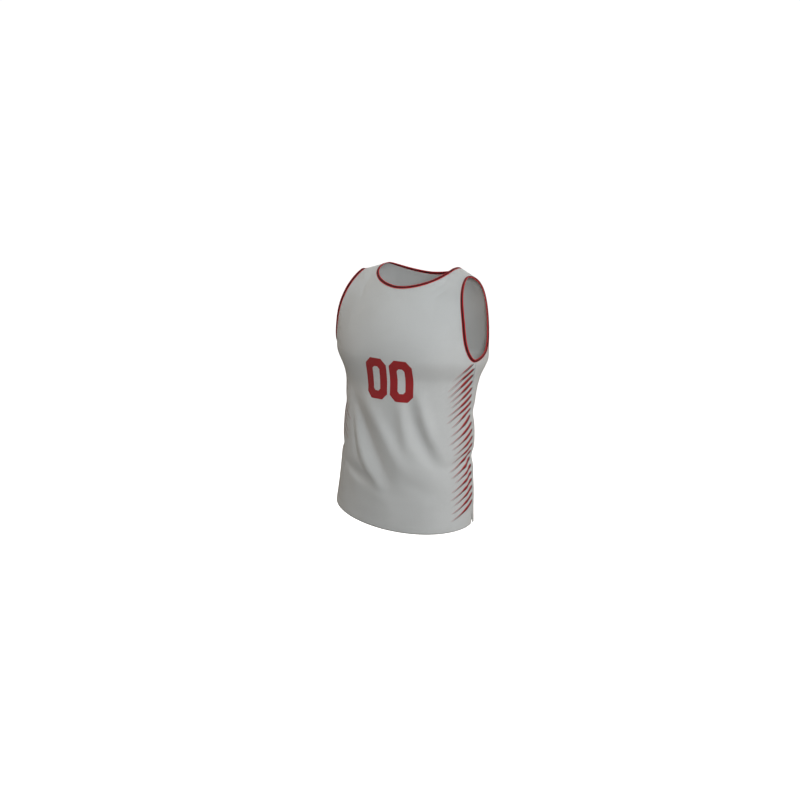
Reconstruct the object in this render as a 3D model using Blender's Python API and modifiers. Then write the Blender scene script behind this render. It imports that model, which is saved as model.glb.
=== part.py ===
"""Basketball jersey: a sleeveless knit shirt in the hollow, filled-out form it takes when it is worn.

Frame: metres, +Z up, the chest faces -Y, +X is the wearer's left. The origin lies midway between the two shoulder
straps, at the height of the neck points, which is where the wearer's shoulders hold the garment.

Each panel is cut from a flat pattern and laid on one smooth surface. A point of that surface has two coordinates:
`across`, from -1 at the right side seam to 1 at the left one, and `up`, from 0 at the hem over 1 at the underarm to 2
at the shoulder ridge, where the front and the back meet.
"""
import math
from collections import Counter

import bpy
import numpy as np
from mathutils import Vector
from mathutils.geometry import delaunay_2d_cdt

# Levels and places, in metres
HEM_Z = -0.700  # the hem at the side seams
HEM_DIP = 0.026  # how much lower the hem hangs at the middle of each panel
HEM_ROUNDING = 1.5  # 1 is a plain arch from seam to seam, more flattens its ends
UNDERARM_Z = -0.2410
NECK_POINT_X = 0.1195  # where the neckline meets the shoulder seam
NECK_POINT_Z = -0.011
SHOULDER_TIP_X = 0.1655  # where the armhole meets the shoulder seam
SHOULDER_FALL = 0.32  # how far the shoulder seam falls for each metre outward
SHOULDER_Y = 0.010  # the shoulder seam at the neck point
SHOULDER_SWEEP = -0.50  # how far the shoulder seam runs forward for each metre outward

# Cloth and seams, in metres
WALL = 0.0020
SEAM_GAP = 0.0005
BINDING_GAP = 0.0003
BINDING_WIDTH = 0.0080
BINDING_WALL = 0.0024
BINDING_CROWN = 0.0004
SLIT_HEIGHT = 0.038
SLIT_HALF_OPENING = 0.0042
SLIT_REACH = 0.055  # how far in from the seam the cloth moves to open the slit

# How finely the edges and the cloth between them are stepped
STRAP_STEPS = 4
NECK_STEPS = 30
SLIT_STEPS = 3
SEAM_STEPS = 24
ARMHOLE_STEPS = 30
HEM_STEPS = 36
BINDING_STEPS = 2
LATTICE_STEP = 0.0165
EDGE_CLEARANCE = 0.55  # in lattice steps
SAMPLES = 400  # fine points along an edge, from which evenly spaced ones are read

# Scale of the flat pattern: metres from the middle to a side seam, and for each unit of `up`
FLAT_WIDTH = 0.27
FLAT_HEIGHT = 0.42
CDT_INSIDE = 1  # the triangulation keeps only what lies inside the outline
CDT_MERGE = 1e-7  # points nearer than this would become one

FRONT = -1
BACK = 1

# The level rings of the body. Each ring is two half ovals with a common half width, and the side seam lies on it at
# an angle counted from the middle of the front. A fullness of 2 is a plain oval, more is squarer.
SECTIONS = {
    "z": (-0.700, -0.620, -0.540, -0.460, -0.380, -0.300, UNDERARM_Z),
    "half_width": (0.2240, 0.2170, 0.2095, 0.2065, 0.2010, 0.2100, 0.2275),
    "front_depth": (0.1140, 0.1210, 0.1245, 0.1245, 0.1235, 0.1225, 0.1190),
    "back_depth": (0.0900, 0.0870, 0.0850, 0.0870, 0.0970, 0.1220, 0.1500),
    "centre_y": (-0.0740, -0.0610, -0.0550, -0.0480, -0.0440, -0.0430, -0.0530),
    "front_fullness": (2.07, 2.07, 2.07, 2.07, 2.07, 2.07, 2.07),
    "back_fullness": (2.30, 2.30, 2.30, 2.30, 2.30, 2.35, 2.85),
    "seam_angle": tuple(math.radians(angle) for angle in (96, 96, 96, 96, 92, 86.5, 82)),
}

# What differs between the panels above the underarm. The armhole's rounding is the share of its height that its
# rounded bottom takes.
PANELS = {
    FRONT: {
        "ring_fullness": "front_fullness",
        "yoke_fullness": 1.70,
        "neck_drop": 0.050,
        "neck_fullness": 1.76,
        "armhole_angle": math.radians(65),
        "armhole_rounding": 0.27,
        "armhole_fullness": 2.20,
    },
    BACK: {
        "ring_fullness": "back_fullness",
        "yoke_fullness": 3.00,
        "neck_drop": 0.030,
        "neck_fullness": 1.65,
        "armhole_angle": math.radians(117),
        "armhole_rounding": 0.20,
        "armhole_fullness": 2.10,
    },
}
ARMHOLE_EASING = 1.6
ARMHOLE_BIAS = 1.25  # above 1, the edge is stepped more finely at the underarm than at the shoulder

# The largest folds. Each runs along a curve from its start by a bend to its end, seen from the front (x and z), and
# is raised where its depth is positive.
FOLD_COLUMNS = ("start_x", "start_z", "bend_x", "bend_z", "end_x", "end_z", "half_width", "depth")
FOLDS = {
    FRONT: (
        (-0.155, -0.565, -0.085, -0.585, -0.032, -0.604, 0.019, -0.0045),
        (-0.112, -0.405, -0.088, -0.540, 0.005, -0.612, 0.015, 0.0065),
        (-0.138, -0.350, -0.064, -0.465, 0.026, -0.590, 0.028, -0.0110),
        (-0.078, -0.350, -0.004, -0.437, 0.073, -0.560, 0.021, 0.0060),
        (0.020, -0.365, 0.030, -0.440, 0.052, -0.505, 0.021, -0.0040),
        (0.050, -0.360, 0.058, -0.430, 0.084, -0.500, 0.016, 0.0034),
        (0.072, -0.335, 0.084, -0.440, 0.156, -0.535, 0.020, -0.0098),
        (0.102, -0.325, 0.114, -0.425, 0.182, -0.522, 0.016, 0.0078),
        (0.020, -0.290, 0.120, -0.314, 0.205, -0.272, 0.030, -0.0055),
        (-0.195, -0.322, -0.120, -0.345, -0.040, -0.325, 0.032, -0.0055),
    ),
    BACK: (
        (-0.120, -0.340, -0.070, -0.450, 0.010, -0.540, 0.021, -0.0065),
        (-0.150, -0.420, -0.100, -0.520, -0.020, -0.590, 0.019, 0.0045),
        (0.130, -0.350, 0.100, -0.450, 0.040, -0.520, 0.019, -0.0060),
        (0.160, -0.400, 0.140, -0.500, 0.080, -0.570, 0.018, 0.0045),
        (-0.020, -0.300, 0.000, -0.380, 0.010, -0.450, 0.020, -0.0035),
    ),
}
# Folds across the side seams, the same on both panels and on both sides.
SIDE_FOLDS = (
    (0.235, -0.500, 0.212, -0.508, 0.180, -0.535, 0.017, -0.0065),
    (0.235, -0.385, 0.205, -0.392, 0.180, -0.402, 0.017, -0.0038),
)
FOLD_STEPS = 60
FOLD_TAPER = 0.6  # below 1, a fold keeps its depth nearer to its ends

RED = (0.314, 0.028, 0.036, 1.0)
LIGHT_GREY = (0.640, 0.640, 0.630, 1.0)


def section(column, z):
    """A column of SECTIONS at height z, through a smooth curve that stands upright at the underarm."""
    heights = np.asarray(SECTIONS["z"])
    values = np.asarray(SECTIONS[column])
    steps = np.diff(heights)
    rises = np.diff(values) / steps
    slopes = np.zeros(len(values))
    slopes[0] = rises[0]
    slopes[1:-1] = (rises[:-1] * steps[1:] + rises[1:] * steps[:-1]) / (steps[:-1] + steps[1:])
    low = np.clip(np.searchsorted(heights, z) - 1, 0, len(heights) - 2)
    step = steps[low]
    s = (z - heights[low]) / step
    start = (2 * s**3 - 3 * s**2 + 1) * values[low] + (s**3 - 2 * s**2 + s) * step * slopes[low]
    end = (3 * s**2 - 2 * s**3) * values[low + 1] + (s**3 - s**2) * step * slopes[low + 1]
    return start + end


def oval(angle, fullness):
    """Sine and cosine on a unit oval of the given fullness; the angle runs over a half turn."""
    sine = np.sin(angle)
    cosine = np.maximum(np.cos(angle), 0)
    size = (np.abs(sine) ** fullness + cosine**fullness) ** (1 / fullness)
    return sine / size, cosine / size


def oval_angle(sine, fullness):
    """The angle at which the unit oval has this sine."""
    sine = np.clip(sine, -1, 1)
    return np.arctan2(sine, (1 - np.abs(sine) ** fullness) ** (1 / fullness))


def shoulder_ridge(x):
    """Y and z of the line along which the front and the back meet over the shoulders."""
    outward = np.maximum(np.abs(x) - NECK_POINT_X, 0)
    inward = np.maximum(NECK_POINT_X**2 - x**2, 0) / (2 * NECK_POINT_X)
    return SHOULDER_Y + SHOULDER_SWEEP * outward, NECK_POINT_Z + SHOULDER_FALL * (inward - outward)


def ring_angle(side, across, seam_angle):
    """The angle from the middle of the front, 0, to the middle of the back, pi, for a share of a panel's width."""
    share = np.abs(across)
    if side == FRONT:
        return share * seam_angle
    return math.pi - share * (math.pi - seam_angle)


def ring_point(angle, z):
    """X and Y on the left half of the level ring at height z."""
    front_sine, front_cosine = oval(angle, section("front_fullness", z))
    back_sine, back_cosine = oval(math.pi - angle, section("back_fullness", z))
    forward = angle < math.pi / 2
    x = section("half_width", z) * np.where(forward, front_sine, back_sine)
    depth = np.where(forward, -section("front_depth", z) * front_cosine, section("back_depth", z) * back_cosine)
    return x, section("centre_y", z) + depth


def surface(side, across, up):
    """Points of a panel's smooth surface, without folds."""
    hem = HEM_Z - HEM_DIP * np.maximum(np.cos(across * math.pi / 2), 0) ** HEM_ROUNDING
    z = hem + (UNDERARM_Z - hem) * np.minimum(up, 1)
    angle = ring_angle(side, across, section("seam_angle", z))
    x, y = ring_point(angle, z)
    x = np.sign(across) * x
    rise, inset = oval(np.clip(up - 1, 0, 1) * math.pi / 2, PANELS[side]["yoke_fullness"])
    ridge_y, ridge_z = shoulder_ridge(x)
    y = np.where(up > 1, ridge_y + (y - ridge_y) * inset, y)
    z = np.where(up > 1, z + (ridge_z - z) * rise, z)
    return np.stack((x, y, z), axis=-1)


def surface_normal(side, across, up):
    """Outward unit normals of the surface."""
    step = 1e-4
    by_across = surface(side, across + step, up) - surface(side, across - step, up)
    by_up = surface(side, across, up + step) - surface(side, across, up - step)
    normal = -side * np.cross(by_across, by_up)
    return normal / np.linalg.norm(normal, axis=-1, keepdims=True)


def across_at(side, angle):
    """The share of a panel's width at an angle round the yoke."""
    seam_angle = SECTIONS["seam_angle"][-1]
    if side == FRONT:
        return angle / seam_angle
    return (math.pi - angle) / (math.pi - seam_angle)


def yoke_angle(side, x):
    """The angle round the yoke at which a panel reaches x on the left side."""
    angle = oval_angle(x / SECTIONS["half_width"][-1], SECTIONS[PANELS[side]["ring_fullness"]][-1])
    return angle if side == FRONT else math.pi - angle


def neckline(side, share):
    """Coordinates along the neckline; share runs from -1 at the right neck point to 1 at the left one."""
    panel = PANELS[side]
    sine, cosine = oval(share * math.pi / 2, panel["neck_fullness"])
    x = NECK_POINT_X * sine
    z = NECK_POINT_Z - panel["neck_drop"] * cosine
    rise = (z - UNDERARM_Z) / (shoulder_ridge(x)[1] - UNDERARM_Z)
    across = np.sign(x) * across_at(side, yoke_angle(side, np.abs(x)))
    return across, 1 + oval_angle(rise, panel["yoke_fullness"]) / (math.pi / 2)


def armhole(side, share):
    """Coordinates along the left armhole; share runs from 0 at the underarm to 1 at the shoulder tip."""
    panel = PANELS[side]
    height = share**ARMHOLE_EASING
    left_to_turn = np.maximum(1 - height / panel["armhole_rounding"], 0)
    turned = (1 - left_to_turn ** panel["armhole_fullness"]) ** (1 / panel["armhole_fullness"])
    inner = panel["armhole_angle"]
    angle = inner + (SECTIONS["seam_angle"][-1] - inner) * (1 - turned)
    angle = angle + (yoke_angle(side, SHOULDER_TIP_X) - inner) * height**2 * (3 - 2 * height)
    return across_at(side, angle), 1 + height


def even_shares(line, count, start_bias=1.0):
    """Shares of a line's run, count + 1 of them, evenly spaced in length, or closer at the start with a bias."""
    shares = np.linspace(0, 1, SAMPLES)
    points = line(shares)
    lengths = np.linalg.norm(np.diff(points, axis=0), axis=1)
    run = np.concatenate(((0,), np.cumsum(lengths)))
    wanted = run[-1] * np.linspace(0, 1, count + 1) ** start_bias
    return np.interp(wanted, run, shares)


def side_seam():
    """Coordinates up the left side seam, from the hem to just below the underarm."""
    slit_top = SLIT_HEIGHT / (UNDERARM_Z - HEM_Z)
    slit = np.linspace(0, slit_top, SLIT_STEPS, endpoint=False)
    seam = np.linspace(slit_top, 1, SEAM_STEPS, endpoint=False)
    up = np.concatenate((slit, seam))
    return np.ones(len(up)), up


def armhole_edge(side):
    """Coordinates up the left armhole, from the underarm to the shoulder tip."""
    return armhole(side, even_shares(lambda share: surface(side, *armhole(side, share)), ARMHOLE_STEPS, ARMHOLE_BIAS))


def neck_edge(side):
    """Coordinates along the neckline, from the left neck point to the right one."""
    shares = even_shares(lambda share: surface(side, *neckline(side, 1 - 2 * share)), NECK_STEPS)
    return neckline(side, 1 - 2 * shares)


def panel_outline(side):
    """Coordinates round a panel, against the clock from its left hem corner."""
    strap_x = np.linspace(SHOULDER_TIP_X, NECK_POINT_X, STRAP_STEPS + 1)[1:-1]
    strap = across_at(side, yoke_angle(side, strap_x)), np.full(len(strap_x), 2.0)
    left = np.hstack((side_seam(), armhole_edge(side), strap))
    right = (left * ((-1,), (1,)))[:, ::-1]
    hem_across = np.linspace(-1, 1, HEM_STEPS + 1)[1:-1]
    hem = np.stack((hem_across, np.zeros(len(hem_across))))
    return np.hstack((left, neck_edge(side), right, hem)).T


def inside(outline, points):
    """Which flat points lie inside a closed outline."""
    result = np.zeros(len(points), dtype=bool)
    for start, end in zip(outline, np.roll(outline, -1, axis=0)):
        crosses = (start[1] > points[:, 1]) != (end[1] > points[:, 1])
        rise = end[1] - start[1] or 1.0
        reach = start[0] + (points[:, 1] - start[1]) * (end[0] - start[0]) / rise
        result ^= crosses & (points[:, 0] < reach)
    return result


def lattice(outline):
    """Evenly staggered flat points inside an outline, clear of its edge."""
    row_step = LATTICE_STEP * math.sqrt(0.75)
    rows = np.arange(outline[:, 1].min() + row_step, outline[:, 1].max(), row_step)
    columns = np.arange(-FLAT_WIDTH, FLAT_WIDTH + LATTICE_STEP, LATTICE_STEP)
    points = np.array([
        (x + (index % 2) * LATTICE_STEP / 2, y)
        for index, y in enumerate(rows)
        for x in columns
    ])
    points = points[inside(outline, points)]
    edge = np.vstack((outline, (outline + np.roll(outline, -1, axis=0)) / 2))
    clear = np.linalg.norm(points[:, None] - edge[None], axis=-1).min(axis=1) > EDGE_CLEARANCE * LATTICE_STEP
    return points[clear]


def flat_pattern(side):
    """A panel laid out flat: coordinates of its points, and the triangles between them."""
    scale = np.array((FLAT_WIDTH, FLAT_HEIGHT))
    outline = panel_outline(side) * scale
    points = np.vstack((outline, lattice(outline)))
    border = list(range(len(outline)))
    coords = [Vector(point) for point in points]
    laid = delaunay_2d_cdt(coords, [], [border], CDT_INSIDE, CDT_MERGE)
    return np.array([tuple(point) for point in laid[0]]) / scale, laid[2]


def fold_lift(folds, x, z):
    """How far points at x and z stand out of the smooth surface because of some folds."""
    lift = np.zeros(x.shape)
    steps = np.linspace(0, 1, FOLD_STEPS)
    for row in folds:
        fold = dict(zip(FOLD_COLUMNS, row))
        path = [
            (1 - steps) ** 2 * fold["start_" + axis]
            + 2 * steps * (1 - steps) * fold["bend_" + axis]
            + steps**2 * fold["end_" + axis]
            for axis in ("x", "z")
        ]
        distance = np.hypot(x[..., None] - path[0], z[..., None] - path[1])
        strength = np.exp(-((distance / fold["half_width"]) ** 2)) * np.sin(math.pi * steps) ** FOLD_TAPER
        lift += fold["depth"] * strength.max(axis=-1)
    return lift


def open_slit(side, points):
    """Move the cloth beside each side seam apart below the top of the slit."""
    height = np.clip(1 - (points[..., 2] - HEM_Z) / SLIT_HEIGHT, 0, 1)
    level = np.minimum(points[..., 2], HEM_Z + SLIT_HEIGHT)
    seam_y = ring_point(section("seam_angle", level), level)[1]
    from_seam = np.abs(points[..., 1] - seam_y)
    near = np.clip(1 - from_seam / SLIT_REACH, 0, 1)
    points[..., 1] += side * (SEAM_GAP / 2 + SLIT_HALF_OPENING * height * near**2)
    return points


def panel_points(side, across, up):
    """The places in space of points of a panel."""
    points = surface(side, across, up)
    x, z = points[..., 0], points[..., 2]
    lift = fold_lift(FOLDS[side], x, z) + fold_lift(SIDE_FOLDS, np.abs(x), z)
    points = points + surface_normal(side, across, up) * lift[..., None]
    return open_slit(side, points)


def edge_loop(lines):
    """Points and outward normals round an opening, from (side, across, up) lines that follow each other."""
    points = np.concatenate([surface(*line)[:-1] for line in lines])
    normals = np.concatenate([surface_normal(*line)[:-1] for line in lines])
    return points, normals


def neck_loop():
    front_across, front_up = neck_edge(FRONT)
    back_across, back_up = neck_edge(BACK)
    return edge_loop(((FRONT, front_across, front_up), (BACK, -back_across, back_up)))


def armhole_loop(hand):
    """The left armhole's loop for hand 1, the right one's for hand -1."""
    front_across, front_up = armhole_edge(FRONT)
    back_across, back_up = armhole_edge(BACK)
    return edge_loop(((FRONT, hand * front_across, front_up), (BACK, hand * back_across[::-1], back_up[::-1])))


def make_material(name, colour, roughness):
    material = bpy.data.materials.new(name)
    material.use_nodes = True
    shader = material.node_tree.nodes["Principled BSDF"]
    shader.inputs["Base Color"].default_value = colour
    shader.inputs["Roughness"].default_value = roughness
    shader.inputs["Metallic"].default_value = 0.0
    return material


def make_wall(name, points, faces, thickness, material, collection):
    """A named object from a sheet of points and faces, thickened evenly to both sides, with a crisp rim."""
    mesh = bpy.data.meshes.new(name)
    mesh.from_pydata(points, [], faces)
    mesh.shade_smooth()
    uses = Counter(key for face in mesh.polygons for key in face.edge_keys)
    for edge in mesh.edges:
        edge.use_edge_sharp = uses[edge.key] == 1
    mesh.materials.append(material)
    wall = bpy.data.objects.new(name, mesh)
    collection.objects.link(wall)
    solidify = wall.modifiers.new("Cloth wall", "SOLIDIFY")
    solidify.thickness = thickness
    solidify.offset = 0.0
    solidify.use_even_offset = True
    return wall


def make_panel(name, side, material, collection):
    coordinates, triangles = flat_pattern(side)
    points = panel_points(side, coordinates[:, 0], coordinates[:, 1])
    return make_wall(name, points, triangles, WALL, material, collection)


def make_binding(name, loop, material, collection):
    """A flat band that carries on the cloth's surface past an edge, closed into a ring."""
    points, normals = loop
    along = np.roll(points, -1, axis=0) - np.roll(points, 1, axis=0)
    outward = np.cross(normals, along)
    outward /= np.linalg.norm(outward, axis=1, keepdims=True)
    towards_opening = np.sum(outward * (points.mean(axis=0) - points), axis=1)
    outward *= np.sign(towards_opening)[:, None]
    shares = np.linspace(0, 1, BINDING_STEPS + 1)
    rails = [
        points + outward * (BINDING_GAP + BINDING_WIDTH * share) + normals * BINDING_CROWN * math.sin(math.pi * share)
        for share in shares
    ]
    count = len(points)
    faces = [
        (
            rail * count + station,
            rail * count + (station + 1) % count,
            (rail + 1) * count + (station + 1) % count,
            (rail + 1) * count + station,
        )
        for rail in range(BINDING_STEPS)
        for station in range(count)
    ]
    return make_wall(name, np.vstack(rails), faces, BINDING_WALL, material, collection)


def main():
    for old in list(bpy.data.objects):
        bpy.data.objects.remove(old, do_unlink=True)
    jersey = bpy.data.collections.new("basketball_jersey")
    bpy.context.scene.collection.children.link(jersey)
    knit = make_material("grey_mesh_knit", LIGHT_GREY, 0.75)
    rib = make_material("red_rib", RED, 0.80)
    make_panel("front", FRONT, knit, jersey)
    make_panel("back", BACK, knit, jersey)
    make_binding("neck_binding", neck_loop(), rib, jersey)
    make_binding("armhole_binding_left", armhole_loop(1), rib, jersey)
    make_binding("armhole_binding_right", armhole_loop(-1), rib, jersey)


main()
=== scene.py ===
"""Basketball jersey, dressed: the cloth, bindings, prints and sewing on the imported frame.

Frame: metres, +Z up, the chest faces -Y, +X is the wearer's left. The script repeats the part's own
surface, so that every piece lies where its solid is. A point of a panel has two coordinates: `across`, from
-1 at the right side seam to 1 at the left one, and `up`, from 0 at the hem over 1 at the underarm to 2 at
the ridge of the shoulder.
"""
import math

import bpy
import numpy as np
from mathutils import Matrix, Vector
from mathutils.geometry import delaunay_2d_cdt


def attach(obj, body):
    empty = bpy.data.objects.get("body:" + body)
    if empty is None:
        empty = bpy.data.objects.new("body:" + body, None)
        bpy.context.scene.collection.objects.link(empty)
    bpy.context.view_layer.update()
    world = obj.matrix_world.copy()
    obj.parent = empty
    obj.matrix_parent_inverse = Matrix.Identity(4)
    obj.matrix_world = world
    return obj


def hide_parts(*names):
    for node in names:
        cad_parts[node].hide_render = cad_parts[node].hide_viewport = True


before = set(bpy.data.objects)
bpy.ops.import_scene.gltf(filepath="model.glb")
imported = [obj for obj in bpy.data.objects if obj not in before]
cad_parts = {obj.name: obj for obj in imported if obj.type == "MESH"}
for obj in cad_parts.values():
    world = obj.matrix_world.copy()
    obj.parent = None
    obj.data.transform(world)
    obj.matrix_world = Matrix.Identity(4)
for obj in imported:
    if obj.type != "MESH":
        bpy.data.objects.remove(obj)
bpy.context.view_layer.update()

# Levels and places, in metres
HEM_Z = -0.700  # the hem at the side seams
HEM_DIP = 0.026  # how much lower the hem hangs at the middle of each panel
HEM_ROUNDING = 1.5
UNDERARM_Z = -0.2410
SIDE_LENGTH = UNDERARM_Z - HEM_Z
NECK_POINT_X = 0.1195  # where the neckline meets the shoulder seam
NECK_POINT_Z = -0.011
SHOULDER_TIP_X = 0.1655  # where the armhole meets the shoulder seam
SHOULDER_FALL = 0.32
SHOULDER_Y = 0.010
SHOULDER_SWEEP = -0.50

# Cloth and seams, in metres
CLOTH = 0.0008
SEAM_GAP = 0.0002
SEAM_SINK = 0.0007  # how far the cloth turns in at a seam
SEAM_ROLL = 0.0045  # how far from the seam it does so
HEM_WIDTH = 0.018
HEM_STEP = 0.0003  # how far the doubled hem stands out
HEM_STEP_SOFTNESS = 0.0012  # the height over which it does so
SLIT_HEIGHT = 0.038
SLIT_TOP = SLIT_HEIGHT / SIDE_LENGTH  # as the coordinate `up`
SLIT_HALF_OPENING = 0.0042
SLIT_REACH = 0.055

# How finely the edges and the cloth between them are stepped
STRAP_STEPS = 14
NECK_STEPS = 90
SLIT_STEPS = 9
SEAM_STEPS = 105
ARMHOLE_STEPS = 80
HEM_STEPS = 140
LATTICE_STEP = 0.0042
EDGE_CLEARANCE = 0.55  # in lattice steps
ARC_STEPS = 24
SAMPLES = 400
NORMAL_STEP = 1e-4
PLACE_ROUNDS = 6
TINY = 1e-6

# Scale of the flat pattern: metres from the middle to a side seam, and for each unit of `up`
FLAT_WIDTH = 0.27
FLAT_HEIGHT = 0.42
FLAT_SCALE = np.array((FLAT_WIDTH, FLAT_HEIGHT))
CUT_STEP = 0.012  # between the points at which a cut's area is measured
CDT_INSIDE = 1
CDT_MERGE = 1e-7

FRONT = -1
BACK = 1

# The level rings of the body, as in the part
SECTIONS = {
    "z": (-0.700, -0.620, -0.540, -0.460, -0.380, -0.300, UNDERARM_Z),
    "half_width": (0.2240, 0.2170, 0.2095, 0.2065, 0.2010, 0.2100, 0.2275),
    "front_depth": (0.1140, 0.1210, 0.1245, 0.1245, 0.1235, 0.1225, 0.1190),
    "back_depth": (0.0900, 0.0870, 0.0850, 0.0870, 0.0970, 0.1220, 0.1500),
    "centre_y": (-0.0740, -0.0610, -0.0550, -0.0480, -0.0440, -0.0430, -0.0530),
    "front_fullness": (2.07,) * 7,
    "back_fullness": (2.30, 2.30, 2.30, 2.30, 2.30, 2.35, 2.85),
    "seam_angle": tuple(math.radians(angle) for angle in (96, 96, 96, 96, 92, 86.5, 82)),
}
PANELS = {
    FRONT: {
        "ring_fullness": "front_fullness",
        "yoke_fullness": 1.70,
        "neck_drop": 0.050,
        "neck_fullness": 1.76,
        "armhole_angle": math.radians(65),
        "armhole_rounding": 0.27,
        "armhole_fullness": 2.20,
    },
    BACK: {
        "ring_fullness": "back_fullness",
        "yoke_fullness": 3.00,
        "neck_drop": 0.030,
        "neck_fullness": 1.65,
        "armhole_angle": math.radians(117),
        "armhole_rounding": 0.20,
        "armhole_fullness": 2.10,
    },
}
ARMHOLE_EASING = 1.6
ARMHOLE_BIAS = 1.25

# Folds. Each runs along a curve from its start by a bend to its end, seen from the front (x and z), and is
# raised where its depth is positive. These are the part's own large folds.
FOLD_COLUMNS = ("start_x", "start_z", "bend_x", "bend_z", "end_x", "end_z", "half_width", "depth")
FOLDS = {
    FRONT: (
        (-0.155, -0.565, -0.085, -0.585, -0.032, -0.604, 0.019, -0.0045),
        (-0.112, -0.405, -0.088, -0.540, 0.005, -0.612, 0.015, 0.0065),
        (-0.138, -0.350, -0.064, -0.465, 0.026, -0.590, 0.028, -0.0110),
        (-0.078, -0.350, -0.004, -0.437, 0.073, -0.560, 0.021, 0.0060),
        (0.020, -0.365, 0.030, -0.440, 0.052, -0.505, 0.021, -0.0040),
        (0.050, -0.360, 0.058, -0.430, 0.084, -0.500, 0.016, 0.0034),
        (0.072, -0.335, 0.084, -0.440, 0.156, -0.535, 0.020, -0.0098),
        (0.102, -0.325, 0.114, -0.425, 0.182, -0.522, 0.016, 0.0078),
        (0.020, -0.290, 0.120, -0.314, 0.205, -0.272, 0.030, -0.0055),
        (-0.195, -0.322, -0.120, -0.345, -0.040, -0.325, 0.032, -0.0055),
    ),
    BACK: (
        (-0.120, -0.340, -0.070, -0.450, 0.010, -0.540, 0.021, -0.0065),
        (-0.150, -0.420, -0.100, -0.520, -0.020, -0.590, 0.019, 0.0045),
        (0.130, -0.350, 0.100, -0.450, 0.040, -0.520, 0.019, -0.0060),
        (0.160, -0.400, 0.140, -0.500, 0.080, -0.570, 0.018, 0.0045),
        (-0.020, -0.300, 0.000, -0.380, 0.010, -0.450, 0.020, -0.0035),
    ),
}
# Lighter folds, which only the cloth has
LIGHT_FOLDS = {
    FRONT: (
        (-0.130, -0.420, -0.108, -0.485, -0.094, -0.540, 0.010, -0.0030),
        (-0.124, -0.376, -0.066, -0.486, 0.030, -0.592, 0.014, -0.0026),
        (-0.152, -0.572, -0.104, -0.592, -0.052, -0.606, 0.012, -0.0018),
        (-0.018, -0.365, 0.010, -0.430, 0.040, -0.500, 0.014, -0.0016),
        (-0.060, -0.600, -0.020, -0.640, 0.050, -0.655, 0.022, 0.0015),
        (0.060, -0.560, 0.100, -0.600, 0.150, -0.610, 0.018, -0.0014),
        (-0.150, -0.600, -0.120, -0.650, -0.110, -0.700, 0.020, -0.0014),
        (0.130, -0.630, 0.125, -0.670, 0.135, -0.705, 0.020, 0.0012),
        (0.020, -0.650, 0.018, -0.690, 0.010, -0.725, 0.024, 0.0010),
        (-0.162, -0.095, -0.168, -0.135, -0.158, -0.180, 0.016, -0.0022),
        (-0.152, -0.030, -0.140, -0.052, -0.122, -0.064, 0.009, 0.0016),
        (-0.140, -0.050, -0.126, -0.066, -0.112, -0.090, 0.008, -0.0014),
        (0.126, -0.032, 0.112, -0.052, 0.092, -0.074, 0.007, -0.0014),
        (0.146, -0.046, 0.126, -0.068, 0.102, -0.086, 0.007, -0.0014),
        (-0.022, -0.064, -0.006, -0.078, 0.010, -0.076, 0.009, -0.0016),
        (-0.095, -0.075, -0.060, -0.120, -0.010, -0.140, 0.018, 0.0010),
    ),
    BACK: (
        (-0.110, -0.060, -0.090, -0.110, -0.050, -0.150, 0.018, -0.0020),
        (0.112, -0.060, 0.098, -0.115, 0.062, -0.160, 0.016, -0.0018),
        (-0.160, -0.200, -0.120, -0.250, -0.070, -0.270, 0.020, -0.0026),
        (0.165, -0.210, 0.120, -0.255, 0.060, -0.285, 0.018, -0.0024),
        (-0.132, -0.360, -0.080, -0.450, -0.004, -0.530, 0.011, -0.0034),
        (0.140, -0.365, 0.108, -0.450, 0.046, -0.522, 0.011, -0.0032),
        (0.060, -0.300, 0.075, -0.380, 0.060, -0.450, 0.014, 0.0028),
        (-0.060, -0.330, -0.040, -0.400, -0.030, -0.470, 0.013, 0.0026),
        (-0.170, -0.600, -0.140, -0.650, -0.120, -0.705, 0.020, -0.0013),
        (0.050, -0.600, 0.030, -0.650, 0.040, -0.715, 0.022, 0.0014),
        (0.150, -0.620, 0.140, -0.665, 0.150, -0.710, 0.018, -0.0012),
    ),
}
# Folds across the side seams, the same on both panels and on both sides, as in the part
SIDE_FOLDS = (
    (0.235, -0.500, 0.212, -0.508, 0.180, -0.535, 0.017, -0.0065),
    (0.235, -0.385, 0.205, -0.392, 0.180, -0.402, 0.017, -0.0038),
)
# One along each armhole, whose cloth turns out at the front and in at the back
ARMHOLE_FOLDS = {
    FRONT: (0.174, -0.045, 0.218, -0.154, 0.228, -0.228, 0.014, 0.0040),
    BACK: (0.184, -0.035, 0.223, -0.120, 0.234, -0.225, 0.014, -0.0030),
}
# Creases beside the side seams. Their x counts from the left seam where it is positive, from the right one
# where it is negative.
SEAM_FOLDS = {
    FRONT: (
        (0.045, -0.465, 0.041, -0.545, 0.047, -0.625, 0.010, 0.0014),
        (0.026, -0.475, 0.023, -0.550, 0.028, -0.615, 0.010, -0.0016),
        (-0.040, -0.410, -0.044, -0.465, -0.038, -0.530, 0.010, 0.0014),
        (-0.022, -0.415, -0.025, -0.470, -0.021, -0.525, 0.010, -0.0015),
    ),
    BACK: (
        (0.036, -0.420, 0.041, -0.490, 0.035, -0.560, 0.010, 0.0014),
        (0.018, -0.425, 0.021, -0.490, 0.018, -0.555, 0.010, -0.0015),
        (-0.044, -0.470, -0.040, -0.535, -0.046, -0.600, 0.010, 0.0014),
        (-0.025, -0.475, -0.022, -0.535, -0.027, -0.600, 0.010, -0.0016),
    ),
}
FOLD_STEPS = 60
FOLD_TAPER = 0.6

# Puckers along the sewn edges: cycles for each metre along the edge, and height
PUCKERS = ((61.0, 0.00016), (97.0, 0.00010), (143.0, 0.00006))
PUCKER_REACH = 0.012

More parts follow.
